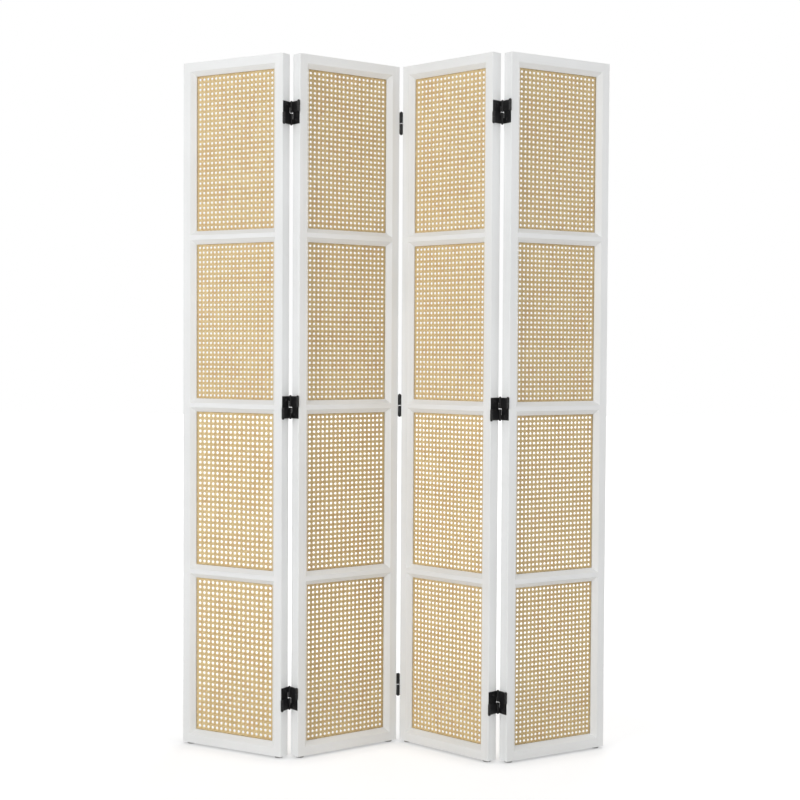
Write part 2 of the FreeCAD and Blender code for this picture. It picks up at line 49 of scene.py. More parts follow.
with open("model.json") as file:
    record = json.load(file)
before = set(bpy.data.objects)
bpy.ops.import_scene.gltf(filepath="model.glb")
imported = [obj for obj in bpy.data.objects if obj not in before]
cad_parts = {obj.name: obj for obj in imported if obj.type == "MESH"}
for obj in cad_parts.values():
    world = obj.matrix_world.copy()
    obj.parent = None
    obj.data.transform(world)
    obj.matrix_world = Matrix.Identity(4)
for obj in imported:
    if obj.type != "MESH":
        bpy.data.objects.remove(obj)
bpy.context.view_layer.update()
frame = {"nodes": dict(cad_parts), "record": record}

PANELS = (1, 2, 3, 4)
SEAMS = (1, 2, 3)
HANDS = ("left", "right")
STILES = ("left_stile", "right_stile")
RAILS = ("bottom_rail", "lower_rail", "middle_rail", "upper_rail", "top_rail")
HALF_TURN = Matrix.Rotation(math.pi, 4, "Z")
UPSIDE_DOWN = Matrix.Rotation(math.pi, 4, "X")
WHITE = (1, 1, 1, 1)
FLOOR_REACH = 20

# Families of strands in a weave, each of which takes a seed of its own
FAMILIES = 4

# What the weave stores on its points for the cane's material; the second marks the corners of each
# strand's section where the cane is darkened, painted shade between the strands that partly stands
# for the strands' own darker edges
STRAND_TONE = "strand_tone"
STRAND_RIDGE_SHADE = "strand_ridge"

# Length of the cross in a screw's head as a share of the head's radius
RECESS_SHARE = 1.2

# Place and width of each lamp, whose power is a setting, and the point that all of them face
LAMPS = {
    "key": ((-2.8, -3.0, 2.4), 2.4),
    "fill": ((2.9, -2.2, 2.5), 2.4),
    "bounce": ((0, -3.4, 0.05), 1.6),
    "rear": ((0.9, 3.6, 2.0), 2.4),
}
LAMP_AIM = Vector((0, 0, 0.9))

# Places of sockets that share a name with others of their node
MIX_SHARE = 0
MIX_FIRST = 6
MIX_SECOND = 7
MIX_RESULT = 2
RANDOM_NUMBER = 1


class Wire:
    """A socket of a node tree that can stand in sums."""

    def __init__(self, nodes, socket):
        self.nodes = nodes
        self.socket = socket

    def math(self, operation, *terms):
        """Add a Math node that works on the given values or wires."""
        return self.nodes.add("ShaderNodeMath", {"operation": operation}, dict(enumerate(terms)))

    def __add__(self, other):
        return self.math("ADD", self, other)

    def __sub__(self, other):
        return self.math("SUBTRACT", self, other)

    def __rsub__(self, other):
        return self.math("SUBTRACT", other, self)

    def __mul__(self, other):
        return self.math("MULTIPLY", self, other)

    def __truediv__(self, other):
        return self.math("DIVIDE", self, other)

    def __rtruediv__(self, other):
        return self.math("DIVIDE", other, self)

    def __floordiv__(self, other):
        return self.math("FLOOR", self / other)

    def __rfloordiv__(self, other):
        return self.math("FLOOR", other / self)

    def __mod__(self, other):
        return self.math("FLOORED_MODULO", self, other)

    def __rmod__(self, other):
        return self.math("FLOORED_MODULO", other, self)

    def __gt__(self, other):
        return self.math("GREATER_THAN", self, other)

    def __lt__(self, other):
        return self.math("LESS_THAN", self, other)

    __radd__ = __add__
    __rmul__ = __mul__


class Nodes:
    """The nodes of one material, world or geometry tree."""

    def __init__(self, tree):
        self.tree = tree

    def add(self, kind, settings=None, inputs=None, output=0):
        """Add a node, set it, fill or link its inputs, and return the wire of one output.

        An input that takes several links is given a list of wires.
        """
        node = self.tree.nodes.new(kind)
        for name, setting in (settings or {}).items():
            setattr(node, name, setting)
        for name, given in (inputs or {}).items():
            for value in given if isinstance(given, list) else [given]:
                if isinstance(value, Wire):
                    self.tree.links.new(value.socket, node.inputs[name])
                else:
                    node.inputs[name].default_value = value
        return Wire(self, node.outputs[output] if node.outputs else None)


def new_material(name):
    """A material with its nodes cleared, those nodes and the wire of its Object coordinates."""
    material = bpy.data.materials.new(name)
    material.use_nodes = True
    material.node_tree.nodes.clear()
    nodes = Nodes(material.node_tree)
    return material, nodes, nodes.add("ShaderNodeTexCoord", output="Object")


def noise(nodes, place, scale, detail):
    """Noise with blotches of about one over the scale."""
    return nodes.add("ShaderNodeTexNoise", {}, {"Vector": place, "Scale": scale, "Detail": detail})


def spread(nodes, value, low, high, first=0.0, second=1.0):
    """A value from low to high brought to first to second, and held there."""
    return nodes.add("ShaderNodeMapRange", {"clamp": True}, {
        "Value": value, "From Min": low, "From Max": high, "To Min": first, "To Max": second})


def mixed(nodes, share, *colours):
    """Two colours, or wires of colours, mixed by a wire from 0 to 1."""
    first, second = (colour if isinstance(colour, Wire) else (*colour, 1) for colour in colours)
    return nodes.add("ShaderNodeMix", {"data_type": "RGBA"}, {
        MIX_SHARE: share, MIX_FIRST: first, MIX_SECOND: second}, MIX_RESULT)


def blended(nodes, share, first, second):
    """Two shaders mixed by a wire from 0 to 1."""
    return nodes.add("ShaderNodeMixShader", {}, dict(enumerate((share, first, second))))


def bump(nodes, height, strength, depth):
    """A bump from a height of 0 to 1."""
    return nodes.add("ShaderNodeBump", {}, {
        "Height": height, "Strength": strength, "Distance": depth})


def finish_surface(nodes, inputs):
    """Close a material with one surface shader."""
    surface = nodes.add("ShaderNodeBsdfPrincipled", {}, inputs)
    nodes.add("ShaderNodeOutputMaterial", {}, {"Surface": surface})


def length_property(name, description, default):
    """A length that a user would change."""
    return bpy.props.FloatProperty(
        name=name, description=description, default=default, unit="LENGTH", min=0)


def colour_property(name, description, default):
    """A colour that a user would change."""
    return bpy.props.FloatVectorProperty(
        name=name, description=description, default=default, subtype="COLOR", min=0, max=1)


def share_property(name, description, default):
    """A share of a whole that a user would change."""
    return bpy.props.FloatProperty(
        name=name, description=description, default=default, subtype="FACTOR", min=0, max=1)


def count_property(name, description, default):
    """A whole number that a user would change."""
    return bpy.props.IntProperty(name=name, description=description, default=default, min=1)


def strength_property(name, description, default):
    """A strength of light that a user would change."""
    return bpy.props.FloatProperty(name=name, description=description, default=default, min=0)


def power_property(name, description, default):
    """A lamp's power that a user would change."""
    return bpy.props.FloatProperty(
        name=name, description=description, default=default, unit="POWER", min=0)


class PaintSettings(bpy.types.PropertyGroup):
    """Sizes and colours of the painted frames."""

    colour: colour_property("Paint", "Colour of the paint", (0.86, 0.868, 0.868))
    shade: colour_property("Shade", "Colour where the paint lies thinner", (0.815, 0.823, 0.82))
    panel_width: length_property("Panel width", "Width of one panel", 0.3)


class CaneSettings(bpy.types.PropertyGroup):
    """Sizes and colours of the woven cane."""

    pale: colour_property("Pale", "Colour of the palest strands", (0.9, 0.72, 0.395))
    deep: colour_property("Deep", "Colour of the deepest strands", (0.745, 0.545, 0.24))
    blush: colour_property("Blush", "Colour of the redder strands", (0.79, 0.535, 0.28))
    # The growth marks' colour is also the painted shade at the strands' marked corners
    fleck_and_shade: colour_property("Fleck", "Colour of the growth marks", (0.34, 0.22, 0.1))
    cells_across: bpy.props.IntVectorProperty(
        name="Cells across", size=16, min=1,
        description="Holes across each sheet, panel by panel from the bottom",
        default=(18, 18, 21, 20, 20, 19, 20, 20, 20, 20, 20, 19, 21, 21, 21, 20))
    cells_up: bpy.props.IntVectorProperty(
        name="Cells up", size=16, min=1,
        description="Holes up each sheet, panel by panel from the bottom",
        default=(29, 30, 33, 32, 32, 33, 33, 33, 32, 33, 32, 32, 34, 33, 34, 33))
    tuck: length_property("Tuck", "Cane held in the groove on each side", 0.0035)
    strand_share: share_property("Strand share", "Width of a strand as a share of a cell", 0.24)
    strand_thickness: length_property("Strand thickness", "Thickness of one strand", 0.0008)
    pair_gap: length_property("Pair gap", "Gap between the two strands of a pair", 0.00015)
    seed: count_property("Seed", "Seed of the strands' tones", 7)
    # Painted light and shade: the cane of the first and third panels, which face the key lamp, is
    # made paler, and that of the second and fourth, turned away, darker
    panel_tones: bpy.props.FloatVectorProperty(
        name="Panel tones", description="Paleness of the cane in each panel", size=4, min=0,
        default=(1.1, 0.93, 1.1, 0.92))


class HingeSettings(bpy.types.PropertyGroup):
    """Sizes and colours of the hinges and their screws."""

    colour: colour_property("Black", "Colour of the hinges", (0.008, 0.008, 0.009))
    dust: colour_property("Dust", "Colour where the hinges are rubbed", (0.022, 0.021, 0.02))
    sides: count_property("Sides", "Sides of the round knuckles", 40)
    height: length_property("Height", "Height of a hinge without its pins' tips", 0.054)
    split: length_property("Split", "Gap between the upper and the lower link", 0.0014)
    knuckle_gap: length_property("Knuckle gap", "Gap from a leaf's knuckle to a link's", 0.00025)
    knuckle_radius: length_property("Knuckle radius", "Radius of a knuckle", 0.0035)
    axis_out: length_property("Axis out", "Pin's distance from the panel's edge", 0.004)
    axis_across: length_property("Axis across", "Pin's distance from the panel's middle", 0.0155)
    leaf_thickness: length_property("Leaf thickness", "Thickness of a leaf and of a link", 0.0015)
    leaf_reach: length_property("Leaf reach", "Half width of a leaf beside its knuckle", 0.0135)
    leaf_waist: length_property("Leaf waist", "Half width of a leaf beside a link", 0.011)
    link_waist: length_property("Link waist", "Half width of a link beside a leaf", 0.01175)
    lip_thickness: length_property("Lip", "Thickness of a leaf behind a link's knuckle", 0.0004)
    lip_reach: length_property("Lip reach", "Half width of a leaf where it is thin", 0.0143)
    knuckle_round: length_property("Knuckle round", "Rounding of a knuckle at the split", 0.0016)
    root_width: length_property("Root width", "Width of the bend into a leaf's knuckle", 0.001)
    pin_clearance: length_property("Clearance", "Room round a pin and a screw", 0.00005)
    pin_radius: length_property("Pin radius", "Radius of a pin", 0.0015)
    tip_radius: length_property("Tip radius", "Radius of a pin's tip", 0.00275)
    tip_height: length_property("Tip height", "Height of a pin's tip", 0.0025)
    tip_rim: length_property("Tip rim", "Height of a tip below its dome", 0.0006)
    dome_steps: count_property("Dome steps", "Rings of a tip's dome", 6)
    edge: length_property("Edge", "Rounding of the metal's edges", 0.0003)
    screw_spacing: length_property("Screw spacing", "Distance between a leaf's screws", 0.034)
    screw_radius: length_property("Screw radius", "Radius of a screw's head", 0.003)
    screw_shank: length_property("Screw shank", "Radius of a screw under its head", 0.0015)
    screw_point: length_property("Screw point", "Radius of a screw's point", 0.0004)
    recess_width: length_property("Recess width", "Width of the cross in a screw's head", 0.0008)
    recess_depth: length_property("Recess depth", "Depth of the cross in a screw's head", 0.0008)
    screw_sides: count_property("Screw sides", "Sides of a screw", 20)
    screw_length: length_property("Screw length", "Length of a screw below its leaf", 0.0125)
    steel: colour_property("Screws", "Colour of the blackened screws", (0.055, 0.053, 0.05))


class GlideSettings(bpy.types.PropertyGroup):
    """Sizes and colours of the glides under the stiles."""

    colour: colour_property("Plastic", "Colour of the glides", (0.3, 0.3, 0.29))
    scuff: colour_property("Scuff", "Colour where the glides are rubbed", (0.42, 0.41, 0.4))
    radius: length_property("Radius", "Radius of a glide", 0.01)
    height: length_property("Height", "Height of a glide", 0.005)
    rim: length_property("Rim", "Rounding of a glide's lower rim", 0.0018)
    rim_steps: count_property("Rim steps", "Rings of a glide's rounded rim", 5)
    lip: length_property("Lip", "Chamfer of a glide's upper edge", 0.0004)
    sides: count_property("Sides", "Sides of a glide", 40)
    nail_radius: length_property("Nail radius", "Radius of a glide's nail", 0.0009)
    nail_length: length_property("Nail length", "Length of a glide's nail", 0.012)


class StageSettings(bpy.types.PropertyGroup):
    """The camera, the lamps and the floor."""

    camera_place: bpy.props.FloatVectorProperty(
        name="Camera", description="Place of the camera", subtype="TRANSLATION", unit="LENGTH",
        default=(0.0143, -3.8687, 0.992))
    camera_dip: bpy.props.FloatProperty(
        name="Dip", description="Angle that the camera looks down", subtype="ANGLE",
        default=0.0317)
    camera_roll: bpy.props.FloatProperty(
        name="Roll", description="Angle that the camera leans", subtype="ANGLE", default=0.0056)
    lens: bpy.props.FloatProperty(
        name="Lens", description="Focal length for a 36 mm sensor", unit="CAMERA", default=70.83)
    floor_colour: colour_property("Floor", "Colour of the floor", (0.93, 0.93, 0.93))
    floor_glow: share_property("Floor glow", "Plain white in the floor by the divider", 0.5)
    glow_start: length_property("Glow start", "Distance at which the floor turns whiter", 0.75)
    glow_end: length_property("Glow end", "Distance at which the floor is plain white", 1.3)
    shadow_reach: length_property("Shadow reach", "Width of the shadow by the panels", 0.085)
    shadow_depth: share_property("Shadow depth", "White left in the deepest of that shadow", 0.6)
    floor_white: strength_property("Floor white", "Strength of the floor's plain white", 1.34)
    ambient: strength_property("Ambient", "Strength of the light from all round", 0.4)
    key_power: power_property("Key", "Power of the main lamp, front left", 74)
    fill_power: power_property("Fill", "Power of the second lamp, front right", 32)
    bounce_power: power_property("Bounce", "Power of the low lamp in front", 16)
    rear_power: power_property("Rear", "Power of the lamp behind the divider", 62)


def settings_of(group):
    """The scene's settings for the paint, the cane, the hinges, the glides or the stage."""
    return getattr(bpy.context.scene, f"divider_{group}")


def foot(panel, hand):
    """The place of the flat foot under one end of a panel."""
    wanted = f"panel_{panel}_{hand}_foot"
    mounts = frame["record"]["mounts"]
    return Vector(next(mount["pos_m"] for mount in mounts if mount["name"] == wanted))


def panel_frame(panel):
    """A panel's own frame: X from its left edge, Y to its back and Z up from the floor."""
    left = foot(panel, "left")
    along = foot(panel, "right") - left
    inset = (settings_of("paint").panel_width - along.length) / 2
    start = left - along.normalized() * inset
    return Matrix.Translation(start) @ Matrix.Rotation(math.atan2(along.y, along.x), 4, "Z")


def sheet_openings(panel):
    """Lowest and highest edge of each opening of a panel, from the bottom."""
    boxes = [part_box(f"panel_{panel}_{rail}") for rail in RAILS]
    return [(below[1].z, above[0].z) for below, above in zip(boxes, boxes[1:])]


def stile_sight():
    """Width of the stiles and rails as seen from the front."""
    low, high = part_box("panel_1_top_rail")
    return high.z - low.z


def edge_frames():
    """Each hinged panel edge as seam, hand, body and frame, with Z from the floor."""
    width = settings_of("paint").panel_width
    for seam in SEAMS:
        yield seam, "left", f"panel_{seam}", panel_frame(seam) @ Matrix.Translation((width, 0, 0))
        yield seam, "right", f"panel_{seam + 1}", panel_frame(seam + 1) @ HALF_TURN


def hinge_heights():
    """Heights of the three hinges' middles at a seam."""
    low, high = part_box("seam_1_left_leaves")
    hinge = settings_of("hinge")
    first = low.z + hinge.height / 2
    last = high.z - hinge.height / 2
    return [first, (first + last) / 2, last]


def new_object(name, data):
    """A new object in the scene."""
    holder = bpy.data.objects.new(name, data)
    bpy.context.scene.collection.objects.link(holder)
    return holder


def new_piece(name, mesh, body, nodes):
    """Put a finished mesh in the scene as a piece that rides on a body."""
    piece = new_object(name, mesh)
    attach(piece, body)
    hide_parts(*nodes)


def coat(mesh, material):
    """Give the whole of a mesh one material."""
    mesh.materials.clear()
    mesh.materials.append(material)


def evaluated(maker):
    """An object's mesh with its modifiers worked in."""
    graph = bpy.context.evaluated_depsgraph_get()
    return bpy.data.meshes.new_from_object(maker.evaluated_get(graph), depsgraph=graph)


def new_geometry_tree(name, sockets):
    """A geometry tree with named inputs: its nodes and a wire for each input."""
    tree = bpy.data.node_groups.new(name, "GeometryNodeTree")
    for label, kind in sockets.items():
        tree.interface.new_socket(label, in_out="INPUT", socket_type=kind)
    tree.interface.new_socket("Geometry", in_out="OUTPUT", socket_type="NodeSocketGeometry")
    nodes = Nodes(tree)
    wires = {label: nodes.add("NodeGroupInput", output=label) for label in sockets}
    return nodes, wires


def close_tree(nodes, geometry, material):
    """End a geometry tree with plain geometry of one material."""
    plain = nodes.add("GeometryNodeRealizeInstances", {}, {"Geometry": geometry})
    plain = nodes.add("GeometryNodeSetMaterial", {}, {"Geometry": plain, "Material": material})
    nodes.add("NodeGroupOutput", {}, {"Geometry": plain})
    return nodes.tree


def baked(tree, values):
    """The result of a geometry tree for the given inputs, as a plain mesh."""
    maker = new_object("maker", bpy.data.meshes.new("maker"))
    modifier = maker.modifiers.new("Geometry", "NODES")
    modifier.node_group = tree
    for item in tree.interface.items_tree:
        if item.in_out == "INPUT":
            modifier[item.identifier] = values[item.name]
    mesh = evaluated(maker)
    maker.modifiers.remove(modifier)
    bpy.data.objects.remove(maker)
    return mesh


def moved(mesh, name, places):
    """A new mesh with a copy of a mesh at each of the given frames."""
    shape = bmesh.new()
    for place in places:
        start = len(shape.verts)
        shape.from_mesh(mesh)
        shape.verts.ensure_lookup_table()
        bmesh.ops.transform(shape, matrix=place, verts=shape.verts[start:])
    copy = bpy.data.meshes.new(name)
    shape.to_mesh(copy)
    shape.free()
    for material in mesh.materials:
        copy.materials.append(material)
    return copy


def turned(centre, profile, sides):
    """A closed turned form about an upright axis, from its radii and heights, bottom to top."""
    shape = bmesh.new()
    rings = []
    for radius, height in profile:
        ring = []
        for step in range(sides if radius else 1):
            angle = math.tau * step / sides
            x = centre[0] + radius * math.cos(angle)
            y = centre[1] + radius * math.sin(angle)
            ring.append(shape.verts.new((x, y, height)))
        rings.append(ring)
    for below, above in zip(rings, rings[1:]):
        for step in range(sides):
            after = (step + 1) % sides
            corners = [below[step % len(below)], below[after % len(below)],
                       above[after % len(above)], above[step % len(above)]]
            face = shape.faces.new(list(dict.fromkeys(corners)))
            face.smooth = True
    return shape


def quarter_round(steps):
    """Sine and cosine at even steps over a quarter of a circle."""
    angles = [math.pi / 2 * step / steps for step in range(steps + 1)]
    return [(math.sin(angle), math.cos(angle)) for angle in angles]


def rounded(radius, low, high, ease, top_ease=None, steps=4):
    """Profile of a round bar with its ends rounded, the top more so where that is given."""
    top_ease = top_ease or ease
    lower = [(radius - ease + ease * sine, low + ease * (1 - cosine))
             for sine, cosine in quarter_round(steps)]
    upper = [(radius - top_ease + top_ease * sine, high - top_ease * (1 - cosine))
             for sine, cosine in quarter_round(steps)]
    return [(0, low), *lower, *reversed(upper), (0, high)]


def plate(outline, low, high, ease):
    """A flat plate with softened edges: an outline in Y and Z, thick from low to high in X."""
    shape = bmesh.new()
    front = [shape.verts.new((low, y, z)) for y, z in outline]
    back = [shape.verts.new((high, y, z)) for y, z in outline]
    shape.faces.new(front)
    shape.faces.new(list(reversed(back)))
    for step in range(len(outline)):
        after = (step + 1) % len(outline)
        shape.faces.new((front[after], front[step], back[step], back[after]))
    bmesh.ops.bevel(shape, geom=shape.edges[:], offset=ease, segments=2, profile=0.5,
                    affect="EDGES", clamp_overlap=True)
    return shape


def half_turned(shape):
    """A copy of a shape turned half round about the line that runs out of the panel's edge."""
    copy = shape.copy()
    bmesh.ops.transform(copy, matrix=UPSIDE_DOWN, verts=copy.verts)
    return copy


def combined(name, solids, cuts, material):
    """One mesh of overlapping solids, less what is cut from it."""
    makers = []
    for shape in solids + cuts:
        bmesh.ops.recalc_face_normals(shape, faces=shape.faces)
        mesh = bpy.data.meshes.new(name)
        shape.to_mesh(mesh)
        shape.free()
        makers.append(new_object(name, mesh))
    for number, maker in enumerate(makers[1:], start=1):
        step = makers[0].modifiers.new("Joined", "BOOLEAN")
        step.operation = "UNION" if number < len(solids) else "DIFFERENCE"
        step.object = maker
        step.solver = "EXACT"
    mesh = evaluated(makers[0])
    for maker in makers:
        bpy.data.objects.remove(maker)
    coat(mesh, material)
    return mesh


def paint_material(name, heading):
    """White satin paint on wood, with the grain along a level heading or, without one, upright."""
    paint = settings_of("paint")
    material, nodes, place = new_material(name)
    stretch = 30
    along = nodes.add("ShaderNodeMapping", {"vector_type": "TEXTURE"}, {
        "Vector": place,
        "Rotation": (0, 0, heading or 0),
        "Scale": (1, 1, stretch) if heading is None else (stretch, 1, 1)})
    grain = noise(nodes, along, scale=420, detail=3)
    stipple = noise(nodes, place, scale=1100, detail=2)
    patches = noise(nodes, place, scale=5, detail=3)
    strokes = noise(nodes, along, scale=60, detail=2)
    thin = spread(nodes, patches * 0.6 + strokes * 0.4, low=0.42, high=0.68)
    relief = grain * 0.55 + stipple * 0.45
    finish_surface(nodes, {
        "Base Color": mixed(nodes, thin, paint.colour, paint.shade),
        "Roughness": 0.36 + stipple * 0.12 + strokes * 0.08,
        "Specular IOR Level": 0.45,
        "Normal": bump(nodes, relief, strength=0.035, depth=0.0002),
    })
    return material


class DIVIDER_OT_paint_frames(bpy.types.Operator):
    """Paint the stiles and rails"""

    bl_idname = "divider.paint_frames"
    bl_label = "Paint frames"

    def execute(self, context):
        """Give each stile and rail its paint, with the grain along the piece."""
        upright = paint_material("white_paint_upright", None)
        for panel in PANELS:
            along = panel_frame(panel).to_euler().z
            level = paint_material(f"white_paint_level_{panel}", along)
            for member in STILES + RAILS:
                piece = frame["nodes"][f"panel_{panel}_{member}"]
                coat(piece.data, upright if member in STILES else level)
        return {"FINISHED"}


def cane_material(panel):
    """Peeled cane: straw tones from strand to strand, fine fibres and a few growth marks, with
    painted shade at the strands' marked corners and the whole panel's cane made paler or darker as
    painted light and shade.
    """
    cane = settings_of("cane")
    material, nodes, place = new_material(f"woven_cane_{panel}")
    tones = (cane.pale, cane.deep, cane.blush)
    # Painted light and shade: the whole cane of a panel is made paler or darker by how its side of
    # the fold faces the lamps
    pale, deep, blush = (colour * cane.panel_tones[panel - 1] for colour in tones)
    tone = nodes.add("ShaderNodeAttribute", {"attribute_name": STRAND_TONE}, output="Fac")
    ridge_shade_mask = nodes.add("ShaderNodeAttribute", {"attribute_name": STRAND_RIDGE_SHADE}, output="Fac")
    patches = noise(nodes, place, scale=9, detail=3)
    fibres = noise(nodes, place, scale=1500, detail=3)
    marks = spread(nodes, noise(nodes, place, scale=120, detail=2), low=0.72, high=0.78)
    reds = noise(nodes, place, scale=30, detail=2)
    redness = spread(nodes, reds + tone * 0.3, low=0.6, high=0.9)
    depth = spread(nodes, tone * 0.45 + patches * 0.4 + fibres * 0.25, low=0.35, high=0.9)
    # Painted shade: the strands are darkened towards their marked corners with the growth marks'
    # colour, standing in for the shade between strands and partly for their own darker edges
    wear_and_shade = spread(nodes, ridge_shade_mask, low=0.5, high=1, second=0.4)
    straw = mixed(nodes, depth, pale, deep)
    straw = mixed(nodes, redness * 0.6, straw, blush)
    straw = mixed(nodes, marks * 0.55, straw, cane.fleck_and_shade)
    finish_surface(nodes, {
        "Base Color": mixed(nodes, wear_and_shade, straw, cane.fleck_and_shade),
        "Roughness": 0.42 + fibres * 0.2,
        "Specular IOR Level": 0.6,
        "Normal": bump(nodes, fibres, strength=0.25, depth=0.0003),
    })
    return material


def strand_family(nodes, count, points):
    """As many like strands as counted, each with so many points."""
    line = nodes.add("GeometryNodeCurvePrimitiveLine")
    line = nodes.add("GeometryNodeResampleCurve", {"mode": "COUNT"}, {
        "Curve": line, "Count": points})
    return nodes.add("GeometryNodeDuplicateElements", {"domain": "SPLINE"}, {
        "Geometry": line, "Amount": count})


def placed(nodes, strands, x, y, z):
    """Move the points of a family of strands."""
    place = nodes.add("ShaderNodeCombineXYZ", {}, {"X": x, "Y": y, "Z": z})
    return nodes.add("GeometryNodeSetPosition", {}, {"Geometry": strands, "Position": place})


def stored(nodes, geometry, name, value):
    """Store a number on each point of a geometry."""
    return nodes.add("GeometryNodeStoreNamedAttribute", {"data_type": "FLOAT", "domain": "POINT"}, {
        "Geometry": geometry, "Name": name, "Value": value})


def weave_tree():
    """The six-way weave of chair cane: pairs upright and level, and single strands both slants."""
    nodes, wires = new_geometry_tree("Cane weave", {
        "Width": "NodeSocketFloat", "Height": "NodeSocketFloat",
        "Cells Across": "NodeSocketInt", "Cells Up": "NodeSocketInt",
        "Strand Width": "NodeSocketFloat", "Level Width": "NodeSocketFloat",
        "Strand Thickness": "NodeSocketFloat", "Pair Gap": "NodeSocketFloat",
        "Seed": "NodeSocketInt", "Cane": "NodeSocketMaterial"})
    across, up = wires["Cells Across"], wires["Cells Up"]
    width, thickness = wires["Width"], wires["Strand Thickness"]
    cell_width = width / across
    cell_height = wires["Height"] / up
    slim, broad = wires["Strand Width"], wires["Level Width"]
    spacing = slim + wires["Pair Gap"]
    level_spacing = broad + wires["Pair Gap"]
    strand = nodes.add("GeometryNodeCurveOfPoint", output="Curve Index")
    step = nodes.add("GeometryNodeSplineParameter", output="Index")

    # A pair's strand crosses the two strands of the other pair in each cell, over one and under
    # the other, and lies level halfway to the next cell
    pair = strand // 2
    hand = strand % 2
    cell = (step + 2) // 3 - 1
    stage = (step + 2) % 3
    halfway = stage > 1.5
    crossing = (1 - halfway) * (stage * 2 - 1)
    lift = thickness / 2 * crossing * (hand * 2 - 1)
    sideways = hand - 0.5
    uprights = placed(
        nodes, strand_family(nodes, across * 2, up * 3 + 1),
        (pair + 0.5) * cell_width + sideways * spacing,
        0 - lift,
        (cell + 0.5 + halfway * 0.5) * cell_height + crossing * level_spacing / 2)
    levels = placed(
        nodes, strand_family(nodes, up * 2, across * 3 + 1),
        (cell + 0.5 + halfway * 0.5) * cell_width + crossing * spacing / 2,
        lift,
        (pair + 0.5) * cell_height + sideways * level_spacing)

    # A slanting strand passes in front of one kind of pair and behind the other, in turn, and
    # ends a quarter of a cell past the sheet
    slant = (step / 2 + strand - up + 0.5) * cell_width
    rise = step * cell_height / 2
    sway = thickness * (1 - step % 2 * 2)
    overhang = cell_width * 0.25
    outside = (slant < 0 - overhang) + (slant > width + overhang)
    families = [(uprights, slim, None), (levels, broad, None)]
    for x, y in ((slant, 0 - sway), (width - slant, sway)):
        family = placed(nodes, strand_family(nodes, across + up, up * 2 + 1), x, y, rise)
        families.append((family, slim, outside))

    # A strand's section is a kite, with the ridges of its faces at the second and fourth corner;
    # those corners are marked for the cane's painted shade
    corner = nodes.add("GeometryNodeInputIndex")
    strips = []
    for number, (family, breadth, spare) in enumerate(families):
        tone = nodes.add("FunctionNodeRandomValue", {"data_type": "FLOAT"}, {
            "ID": strand, "Seed": wires["Seed"] + number}, RANDOM_NUMBER)
        family = stored(nodes, family, STRAND_TONE, tone)
        if spare:
            family = nodes.add("GeometryNodeDeleteGeometry", {"domain": "POINT"}, {
                "Geometry": family, "Selection": spare})
        flat = nodes.add("GeometryNodeSetCurveNormal", {"mode": "FREE"}, {
            "Curve": family, "Normal": (0, 1, 0)})
        section = nodes.add("GeometryNodeCurvePrimitiveQuadrilateral", {"mode": "KITE"}, {
            "Width": thickness, "Bottom Height": breadth / 2, "Top Height": breadth / 2})
        section = stored(nodes, section, STRAND_RIDGE_SHADE, corner % 2)
        strips.append(nodes.add("GeometryNodeCurveToMesh", {}, {
            "Curve": flat, "Profile Curve": section, "Fill Caps": True}))
    weave = nodes.add("GeometryNodeJoinGeometry", {}, {"Geometry": strips})
    return close_tree(nodes, weave, wires["Cane"])


class DIVIDER_OT_weave_cane(bpy.types.Operator):
    """Weave the cane sheet of each opening"""

    bl_idname = "divider.weave_cane"
    bl_label = "Weave cane"

    def execute(self, context):
        """Weave a sheet of its own for each opening of each panel."""
        cane = settings_of("cane")
        inset = stile_sight() - cane.tuck
        width = settings_of("paint").panel_width - 2 * inset
        tree = weave_tree()
        counts = zip(cane.cells_across, cane.cells_up)
        for panel in PANELS:
            straw = cane_material(panel)
            for number, (low, high) in enumerate(sheet_openings(panel), start=1):
                across, up = next(counts)
                height = high - low + 2 * cane.tuck
                sheet = baked(tree, {
                    "Width": width, "Height": height, "Cells Across": across, "Cells Up": up,
                    "Strand Width": cane.strand_share * width / across,
                    "Level Width": cane.strand_share * height / up,
                    "Strand Thickness": cane.strand_thickness, "Pair Gap": cane.pair_gap,
                    "Seed": cane.seed + FAMILIES * (panel * len(PANELS) + number),
                    "Cane": straw})
                coat(sheet, straw)
                name = f"panel_{panel}_cane_{number}"
                corner = Matrix.Translation((inset, 0, low - cane.tuck))
                mesh = moved(sheet, name, [panel_frame(panel) @ corner])
                new_piece(name, mesh, f"panel_{panel}", [f"panel_{panel}_cane_sheets"])
                bpy.data.meshes.remove(sheet)
        return {"FINISHED"}


def hinge_material():
    """Black satin lacquer on steel, a little rubbed."""
    hinge = settings_of("hinge")
    material, nodes, place = new_material("black_lacquer")
    grit = noise(nodes, place, scale=2600, detail=2)
    rubbed = spread(nodes, noise(nodes, place, scale=160, detail=3), low=0.45, high=0.75)
    finish_surface(nodes, {
        "Base Color": mixed(nodes, rubbed, hinge.colour, hinge.dust),
        "Roughness": 0.36 + rubbed * 0.18 + grit * 0.08,
        "Specular IOR Level": 0.32,
        "Normal": bump(nodes, grit, strength=0.2, depth=0.0001),
    })
    return material


def barrel_split():
    """Height, from the hinge's middle, of the gap between a leaf's knuckle and a link's."""
    hinge = settings_of("hinge")
    link_low = hinge.split / 2
    return (link_low + hinge.height / 2) / 2


def barrel(across, radius, low, high, top_ease=None):
    """A round bar about one of the two pin lines."""
    hinge = settings_of("hinge")
    profile = rounded(radius, low, high, hinge.edge, top_ease)
    return turned((hinge.axis_out, across), profile, hinge.sides)


def pin_bores():
    """The bores for the two pins, longer than a hinge at both ends."""
    hinge = settings_of("hinge")
    radius = hinge.pin_radius + hinge.pin_clearance
    lines = (-hinge.axis_across, hinge.axis_across)
    return [barrel(line, radius, -hinge.height, hinge.height) for line in lines]


